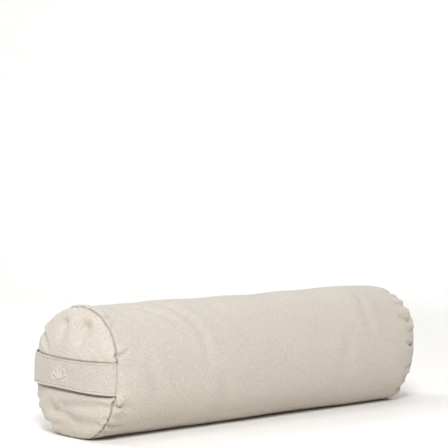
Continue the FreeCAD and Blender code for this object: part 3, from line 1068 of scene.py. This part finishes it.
class Threads:
    """Collects many short lengths of thread into one mesh."""

    def __init__(self):
        self.points = []
        self.faces = []

    def add(self, line, up, thickness, flatness=0.7, sides=6):
        """A thread along a line of points, lying on a surface that faces up, with both its
        ends tucked in."""
        line = np.array(line, float)
        up = np.array(up, float)
        base = len(self.points)
        count = len(line)
        for i, place in enumerate(line):
            way = line[min(i + 1, count - 1)] - line[max(i - 1, 0)]
            way /= np.linalg.norm(way)
            side = np.cross(way, up)
            side /= np.linalg.norm(side)
            rise = np.cross(side, way)
            t = i / (count - 1)
            girth = thickness * max(0.25, math.sin(math.pi * min(max(t, 0.08), 0.92)) ** 0.35)
            for j in range(sides):
                a = math.tau * j / sides
                self.points.append(
                    place + girth * (math.cos(a) * side + flatness * math.sin(a) * rise)
                )
        self.faces += tube_faces(base, count, sides, True)

    def build(self, name):
        mesh = mesh_from(name, self.points, self.faces)
        face_outwards(mesh)
        return new_object(name, smooth(mesh))


STITCH_PITCH = 0.0031
STITCH_SHARE = 0.78  # of the pitch that a stitch shows, before it dips into the cloth


def stitched_row(threads, place, start, end, thickness):
    """A row of stitches. place(s, lift) gives a point and the surface's outward direction."""
    count = int((end - start) / STITCH_PITCH)
    pitch = (end - start) / count
    for k in range(count):
        a = start + pitch * (k + (1 - STITCH_SHARE) / 2)
        b = a + pitch * STITCH_SHARE
        line = []
        for t in (0, 0.2, 0.5, 0.8, 1):
            lift = 0.00012 * math.sin(math.pi * t) - 0.00010
            point, up = place(a + (b - a) * t, lift)
            line.append(point)
        threads.add(line, up, thickness)


def strap_stitches():
    threads = Threads()
    for w in (-STRAP_HALF + STRAP_HEM, STRAP_HALF - STRAP_HEM):

        def place(s, lift, w=w):
            out = strap_lie.at(s)[1]
            height = STRAP_THICKNESS / 2 - 0.75 * STRAP_CHANNEL + lift
            return strap_surface(s, w, height), (out[0], out[1], 0)

        hidden = STRAP_TUCK + STRAP_ROLL
        stitched_row(threads, place, hidden, strap_lie.length - hidden, 0.00036)
    return threads.build("strap_topstitching")


strap_topstitching = strap_stitches()

# -------- embroidered fan of petals

PETALS = 5
PETAL_STEP = 36
PETAL_LENGTH = 0.021
PETAL_HALF = 0.0045
PETAL_ROOT = 0.0026
FAN_DROP = 0.010
SATIN_PITCH = 0.00042
SATIN_HALF = 0.0010
SATIN_RISE = 0.00075


def petal_side(t, side):
    """A point on one side of an upright petal, t from root to tip."""
    bow = PETAL_HALF * math.sin(math.pi * t) ** 0.85
    return np.array([side * bow, PETAL_ROOT + PETAL_LENGTH * t])


def embroidery():
    """Satin stitch: short threads laid close together across each petal's outline."""
    threads = Threads()
    for k in range(PETALS):
        turn = math.radians((k - (PETALS - 1) / 2) * PETAL_STEP)
        spin = np.array(
            [[math.cos(turn), math.sin(turn)], [-math.sin(turn), math.cos(turn)]]
        )
        for side in (-1, 1):
            count = int(PETAL_LENGTH * 1.1 / SATIN_PITCH)
            for i in range(count):
                t = 0.02 + 0.96 * i / (count - 1)
                here = petal_side(t, side)
                way = petal_side(min(t + 0.01, 1), side) - petal_side(max(t - 0.01, 0), side)
                across = np.array([-way[1], way[0]]) / np.linalg.norm(way)
                half = SATIN_HALF * (0.55 + 0.45 * math.sin(math.pi * t) ** 0.5)
                line = []
                for u in (-1, -0.5, 0, 0.5, 1):
                    y, z = spin @ (here + across * half * u)
                    lift = STRAP_THICKNESS / 2 + SATIN_RISE * (1 - u * u) - 0.00006
                    line.append(strap_surface(strap_lie.middle + y, z - FAN_DROP, lift))
                threads.add(line, (-1, 0, 0), SATIN_PITCH * 0.62, 0.8, 5)
    return threads.build("strap_embroidery")


strap_embroidery = embroidery()

# -------- zip

COIL_PITCH = 0.0015
COIL_THREAD = 0.00046
ZIP_STITCHING = 0.0082  # from the zip's middle to the topstitching on each side
TACK_STITCHES = 8
TACK_PITCH = 0.00024
TACK_HALF = 0.0058


def back_surface(x, across, lift):
    """A point on the back of the cover, across measured up from the zip's middle."""
    return around_axis(x, RADIUS + lift, across / RADIUS)


def coil_row(name, side, phase):
    """One row of a moulded coil zip: a thread bent over and back at every pitch."""
    threads = Threads()
    middle = (COIL_LOW.y + COIL_HIGH.y) / 2
    tall = (COIL_HIGH.y - COIL_LOW.y) / 2 - 0.0003
    count = int(2 * SLOT_END / COIL_PITCH) - 1
    for k in range(count):
        x = -SLOT_END + (k + 0.5 + phase) * COIL_PITCH
        for level, shift, turned in ((tall * 0.55, 0.0, -1), (-tall * 0.75, 0.175, 1)):
            line = [
                (x + shift * COIL_PITCH, middle + level + rise * turned, AXIS + side * t)
                for t, rise in ((0.00015, 0.00012), (0.0006, 0), (0.0016, 0), (0.0026, 0))
            ]
            threads.add(line, (0, 1, 0), COIL_THREAD, 1.0, 6)
    return threads.build(name)


coil_upper = coil_row("coil_upper", 1, 0.0)
coil_lower = coil_row("coil_lower", -1, 0.5)


def zip_stitches():
    threads = Threads()
    reach = SLOT_END + 0.004
    for across in (-ZIP_STITCHING, ZIP_STITCHING):

        def place(s, lift, across=across):
            return back_surface(s, across, lift + 0.0002), (0, 1, 0)

        stitched_row(threads, place, -reach, reach, 0.00034)
    return threads.build("zip_topstitching")


def bartack_stitches():
    """Dense zigzag across both ends of the zip's slot."""
    threads = Threads()
    for side in (-1, 1):
        for k in range(TACK_STITCHES):
            x = side * (SLOT_END + 0.0003 + k * TACK_PITCH)
            lean = 0.0002 if k % 2 else -0.0002
            line = [
                back_surface(x + lean * t, t * TACK_HALF, 0.0003 + 0.0002 * (1 - t * t))
                for t in (-1, -0.6, -0.2, 0.2, 0.6, 1)
            ]
            threads.add(line, (0, 1, 0), 0.00022, 1.0, 6)
    return threads.build("bartack_stitching")


zip_topstitching = zip_stitches()
bartack_stitching = bartack_stitches()

# -------- materials


class Shader:
    """Small helper for building a node material."""

    def __init__(self, name, color, roughness, sheen=0.0, metallic=0.0):
        self.material = bpy.data.materials.new(name)
        self.material.use_nodes = True
        self.tree = self.material.node_tree
        self.out = self.tree.nodes["Principled BSDF"]
        self.set("Base Color", (*color, 1))
        self.set("Roughness", roughness)
        self.set("Metallic", metallic)
        self.set("Sheen Weight", sheen)
        self.set("Sheen Roughness", 0.5)

    def set(self, socket, value):
        self.out.inputs[socket].default_value = value

    def node(self, kind, **settings):
        made = self.tree.nodes.new(kind)
        for key, value in settings.items():
            setattr(made, key, value)
        return made

    def link(self, a, b):
        self.tree.links.new(a, b)

    def place(self):
        return self.node("ShaderNodeTexCoord").outputs["Object"]

    def math(self, operation, *values):
        made = self.node("ShaderNodeMath", operation=operation)
        for socket, value in zip(made.inputs, values):
            if isinstance(value, (int, float)):
                socket.default_value = value
            else:
                self.link(value, socket)
        return made.outputs[0]

    def plus(self, a, b, share=1.0):
        """One value with a share of another added to it."""
        return self.math("ADD", a, b if share == 1.0 else self.math("MULTIPLY", b, share))

    def noise(self, vector, scale, detail=2.0, stretch=(1, 1, 1)):
        mapping = self.node("ShaderNodeMapping")
        mapping.inputs["Scale"].default_value = stretch
        self.link(vector, mapping.inputs["Vector"])
        made = self.node("ShaderNodeTexNoise")
        made.inputs["Scale"].default_value = scale
        made.inputs["Detail"].default_value = detail
        self.link(mapping.outputs[0], made.inputs["Vector"])
        return made.outputs["Fac"]

    def tint(self, factor, dark, light):
        """Colours the surface between two colours."""
        made = self.node("ShaderNodeMix", data_type="RGBA")
        self.link(factor, made.inputs["Factor"])
        made.inputs[6].default_value = (*dark, 1)
        made.inputs[7].default_value = (*light, 1)
        self.link(made.outputs[2], self.out.inputs["Base Color"])

    def ramp(self, value, low, high):
        made = self.node("ShaderNodeMapRange")
        made.inputs["From Min"].default_value = low
        made.inputs["From Max"].default_value = high
        self.link(value, made.inputs["Value"])
        return made.outputs[0]

    def bump(self, height, strength, distance):
        made = self.node("ShaderNodeBump")
        made.inputs["Strength"].default_value = strength
        made.inputs["Distance"].default_value = distance
        self.link(height, made.inputs["Height"])
        self.link(made.outputs[0], self.out.inputs["Normal"])


def scaled(color, factor):
    return tuple(c * factor for c in color)


SLUB_WIDTH = 1.3  # of a slub, as a share of the threads' pitch
SLUB_LENGTH = 1 / 130


def woven(name, color, pitch, relief, flat=True, contrast=0.25, sheen=0.2):
    """Plain weave: threads over and under each other, with uneven slubs along both."""
    shader = Shader(name, color, 0.88, sheen)
    if flat:
        place = shader.node("ShaderNodeAttribute", attribute_name="flat").outputs["Vector"]
    else:
        place = shader.place()
    split = shader.node("ShaderNodeSeparateXYZ")
    shader.link(place, split.inputs[0])
    wobble = shader.math("MULTIPLY", shader.noise(place, 60.0, 1.0), pitch * 1.5)
    threads = [
        shader.math(
            "SINE",
            shader.math("MULTIPLY", shader.plus(split.outputs[axis], wobble), math.pi / pitch),
        )
        for axis in ("X", "Y" if flat else "Z")
    ]
    weave = shader.math("MULTIPLY", *threads)
    thin, long = 1 / (pitch * SLUB_WIDTH), 1 / SLUB_LENGTH
    slubs = shader.plus(
        shader.noise(place, 1.0, 1.0, (thin, long, long)),
        shader.noise(place, 1.0, 1.0, (long, thin, long)),
    )
    fleck = shader.noise(place, 0.60 / pitch, 1.0)
    tone = shader.plus(fleck, slubs, 0.30)
    tone = shader.plus(tone, shader.noise(place, 18.0, 3.0), 0.06)
    tone = shader.ramp(shader.plus(tone, weave, 0.14), 0.68, 0.98)
    shader.tint(tone, scaled(color, 1 - contrast), scaled(color, 1 + contrast))
    shader.bump(shader.plus(weave, slubs, 0.8), relief, pitch * 0.35)
    return shader.material


def grained(shader, color, grain, dark, light, strength, distance):
    """One fine noise, as (scale, detail, stretch), that varies the colour between two shares
    of itself and raises the surface."""
    noise = shader.noise(shader.place(), *grain)
    shader.tint(noise, scaled(color, dark), scaled(color, light))
    shader.bump(noise, strength, distance)
    return noise


def spun(name, color):
    """Sewing thread: tightly twisted and slightly shiny."""
    shader = Shader(name, color, 0.6, 0.25)
    grained(shader, color, (2600.0, 1.0, (1, 0.35, 1)), 0.9, 1.06, 0.3, 0.0001)
    return shader.material


def moulded(name, color):
    """Nylon coil: smooth, faintly mottled plastic."""
    shader = Shader(name, color, 0.42)
    grained(shader, color, (900.0, 2.0), 0.92, 1.05, 0.15, 0.00005)
    return shader.material


def plated(name, color):
    """Cast zip metal, plated and lightly scuffed."""
    shader = Shader(name, color, 0.34, metallic=1.0)
    scuffs = grained(shader, color, (700.0, 4.0, (0.4, 1, 1)), 0.88, 1.05, 0.12, 0.00005)
    rough = shader.math("MULTIPLY", shader.ramp(scuffs, 0.2, 0.8), 0.22)
    shader.link(shader.math("ADD", rough, 0.26), shader.out.inputs["Roughness"])
    return shader.material


def fibrous(name, color):
    """Loose cotton wadding."""
    shader = Shader(name, color, 1.0, 0.3)
    grained(shader, color, (300.0, 6.0, (0.3, 1, 1)), 0.85, 1.08, 0.8, 0.0015)
    return shader.material


CANVAS_COLOR = (0.590, 0.534, 0.455)

canvas = woven("canvas", CANVAS_COLOR, 0.00075, 0.30)
# The strap wears the cover's canvas painted 7% darker: painted shade, standing in for its face
# lying darker under the lights than the end beside it.
strap_canvas_painted_shade = woven("strap_canvas_painted_shade", scaled(CANVAS_COLOR, 0.93), 0.00075, 0.30)
thread = spun("thread", (0.74, 0.68, 0.58))
tape_weave = woven("zip_tape", (0.62, 0.55, 0.46), 0.00045, 0.4, flat=False)
nylon = moulded("zip_coil", (0.66, 0.60, 0.51))
metal = plated("zip_metal", (0.60, 0.58, 0.55))
satin = woven("label", (0.85, 0.84, 0.80), 0.0003, 0.2, flat=False, sheen=0.3)
cotton = woven("liner_cotton", (0.80, 0.78, 0.72), 0.0005, 0.25)
wadding = fibrous("wadding", (0.84, 0.83, 0.79))


def dress(made, material):
    made.data.materials.clear()
    made.data.materials.append(material)


# -------- pieces on their bodies


def place_piece(made, material, slot, nodes, body="bolster"):
    dress(made, material)
    if nodes:
        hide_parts(*nodes)
    if body:
        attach(made, body)


wrap = inner_panel("wadding_wrap", wrap_points, cover.all_faces())
core = core_roll()
padded_pieces = [
    (canvas_body, canvas, "canvas", ["cover_body_panel"]),
    (canvas_strapped_end, canvas, "canvas", ["cover_handle_end_panel"]),
    (canvas_plain_end, canvas, "canvas", ["cover_plain_end_panel"]),
    (wrap, wadding, "wadding",
     ["filling_wrap", "filling_pad_handle_end", "filling_pad_plain_end"]),
    (liner_pieces[0], cotton, "liner_cotton", ["liner_body"]),
    (liner_pieces[1], cotton, "liner_cotton", ["liner_handle_end"]),
    (liner_pieces[2], cotton, "liner_cotton", ["liner_plain_end"]),
    (core, wadding, "wadding", ["filling_core"]),
]
for piece in padded_pieces:
    place_piece(*piece)

place_piece(coil_upper, nylon, "zip_coil", ["zip_coil_upper"])
place_piece(coil_lower, nylon, "zip_coil", ["zip_coil_lower"])
place_piece(bartack_stitching, thread, "thread", ["zip_bartacks"])
place_piece(zip_topstitching, thread, "thread", [])

for made, material, slot, nodes in (
    (canvas_strap, strap_canvas_painted_shade, "canvas", ["handle_strap"]),
    (strap_topstitching, thread, "thread", []),
    (strap_embroidery, thread, "thread", ["handle_embroidery"]),
):
    place_piece(made, material, slot, nodes, body=None)
    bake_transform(made)

for node, material in (
    ("zip_tape_upper", tape_weave),
    ("zip_tape_lower", tape_weave),
    ("zip_slider", metal),
    ("zip_pull", metal),
    ("care_label", satin),
):
    dress(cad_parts[node], material)

# -------- studio


def studio():
    """A pale floor that curves up into a pale wall behind."""
    shader = Shader("studio_paper", (0.92, 0.90, 0.865), 0.9)
    grain = shader.noise(shader.place(), 90.0, 2.0)
    shader.tint(grain, (0.91, 0.89, 0.855), (0.93, 0.91, 0.875))
    bend, reach, height, half_width = 1.5, 4.0, 6.0, 9.0
    outline = [(-6.0, 0.0), (reach - bend, 0.0)]
    for k in range(1, 13):
        a = math.pi / 2 * k / 12
        outline.append((reach - bend + bend * math.sin(a), bend - bend * math.cos(a)))
    outline.append((reach, height))
    view = math.radians(CAMERA_AZIMUTH)
    away = np.array([-math.sin(view), math.cos(view)])
    side = np.array([away[1], -away[0]])
    points = [
        (*(away * distance + side * half_width * s), z) for distance, z in outline for s in (-1, 1)
    ]
    faces = [(2 * i, 2 * i + 1, 2 * i + 3, 2 * i + 2) for i in range(len(outline) - 1)]
    floor = new_object("studio_floor", smooth(mesh_from("studio_floor", points, faces)))
    dress(floor, shader.material)


def area_light(name, place, target, size, power, color):
    light = bpy.data.lights.new(name, "AREA")
    light.shape = "DISK"
    light.size = size
    light.energy = power
    light.color = color
    made = bpy.data.objects.new(name, light)
    aim(made, place, Vector(target) - Vector(place))


def aim(made, place, way):
    """Puts a light or a camera in its place, looking one way."""
    made.location = place
    made.rotation_euler = way.to_track_quat("-Z", "Y").to_euler()
    bpy.context.scene.collection.objects.link(made)


CAMERA_AZIMUTH = -42.57
CAMERA_DROP = 1.68  # degrees down from level
CAMERA_DISTANCE = 2.664
CAMERA_LENS = 129.6
CAMERA_TARGET = Vector((-0.0293, 0, 0.3200))


def camera():
    azimuth, drop = math.radians(CAMERA_AZIMUTH), math.radians(CAMERA_DROP)
    level = math.cos(drop)
    back = Vector((math.sin(azimuth) * level, -math.cos(azimuth) * level, math.sin(drop)))
    lens = bpy.data.cameras.new("camera")
    lens.sensor_width = 36
    lens.lens = CAMERA_LENS
    lens.clip_end = 50
    made = bpy.data.objects.new("camera", lens)
    aim(made, CAMERA_TARGET + back * CAMERA_DISTANCE, -back)
    bpy.context.scene.camera = made


def surroundings():
    """Soft warm light from all round, dimmer from the plain end's side."""
    world = bpy.data.worlds.new("studio")
    world.use_nodes = True
    nodes, links = world.node_tree.nodes, world.node_tree.links
    place = nodes.new("ShaderNodeTexCoord")
    split = nodes.new("ShaderNodeSeparateXYZ")
    links.new(place.outputs["Generated"], split.inputs[0])
    dimming = nodes.new("ShaderNodeMapRange")
    for name, value in (("From Min", -1), ("From Max", 1), ("To Min", 0.44), ("To Max", 0.16)):
        dimming.inputs[name].default_value = value
    links.new(split.outputs["X"], dimming.inputs["Value"])
    links.new(dimming.outputs[0], nodes["Background"].inputs["Strength"])
    nodes["Background"].inputs["Color"].default_value = (1, 0.965, 0.91, 1)
    bpy.context.scene.world = world


studio()
camera()
middle = (0, 0, AXIS)
COOL_WHITE = (0.98, 1.0, 1.05)
area_light("key", (-1.92, -2.06, 2.2), middle, 1.0, 88, COOL_WHITE)
area_light("top", (-0.3, 0.0, 3.0), middle, 2.2, 22, COOL_WHITE)
for side in (-1, 1):
    target = (side * 0.6 + 2.6, 3.2, 1.2)
    area_light("wall", (side * 2.5 + 1.2, 1.9, 2.6), target, 1.5, 50, (0.94, 1.0, 1.10))
surroundings()
bpy.context.scene.view_settings.view_transform = "Standard"
